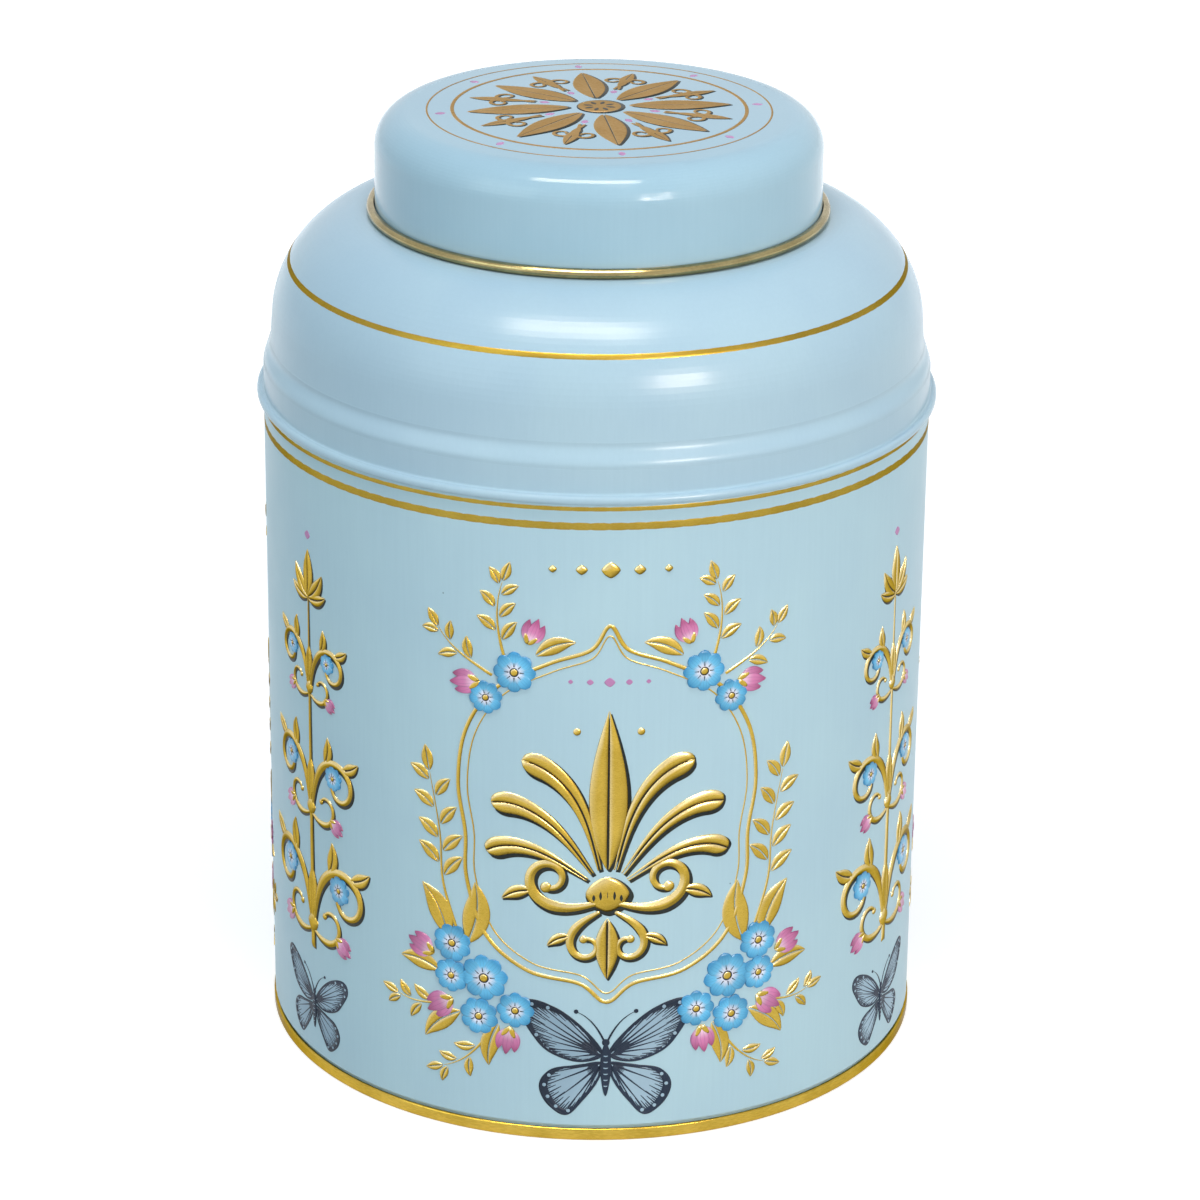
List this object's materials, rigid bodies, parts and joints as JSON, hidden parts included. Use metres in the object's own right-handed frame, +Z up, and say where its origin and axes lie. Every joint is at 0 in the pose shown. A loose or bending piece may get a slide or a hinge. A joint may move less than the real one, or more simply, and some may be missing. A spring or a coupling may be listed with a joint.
{
  "type": "tea caddy",
  "caption": "Round tinplate tea caddy with a domed shoulder seamed to its body and a slip cap that lifts off the neck.",
  "frame": {"origin": "centre of the ring that the base seam stands on", "axes": "+Z up along the caddy's axis, +Y towards the lock seam at the back"},
  "size_m": [0.153, 0.153, 0.2171],
  "materials": {
    "body_lacquer": "satin pale blue lacquer on tinplate",
    "gold_lacquer": "gold lacquer on tinplate",
    "shoulder_lacquer": "satin pale blue lacquer on tinplate",
    "cap_lacquer": "satin pale blue lacquer on tinplate"
  },
  "bodies": {
    "caddy": {"body_wall": "body_lacquer", "base_plate": "gold_lacquer", "shoulder": "shoulder_lacquer"},
    "cap": {"cap": "cap_lacquer"}
  },
  "joints": [
    {"name": "cap_lift", "type": "slide", "parent": "caddy", "child": "cap", "axis": [0, 0, 1], "range_m": [0, 0.1]}
  ]
}
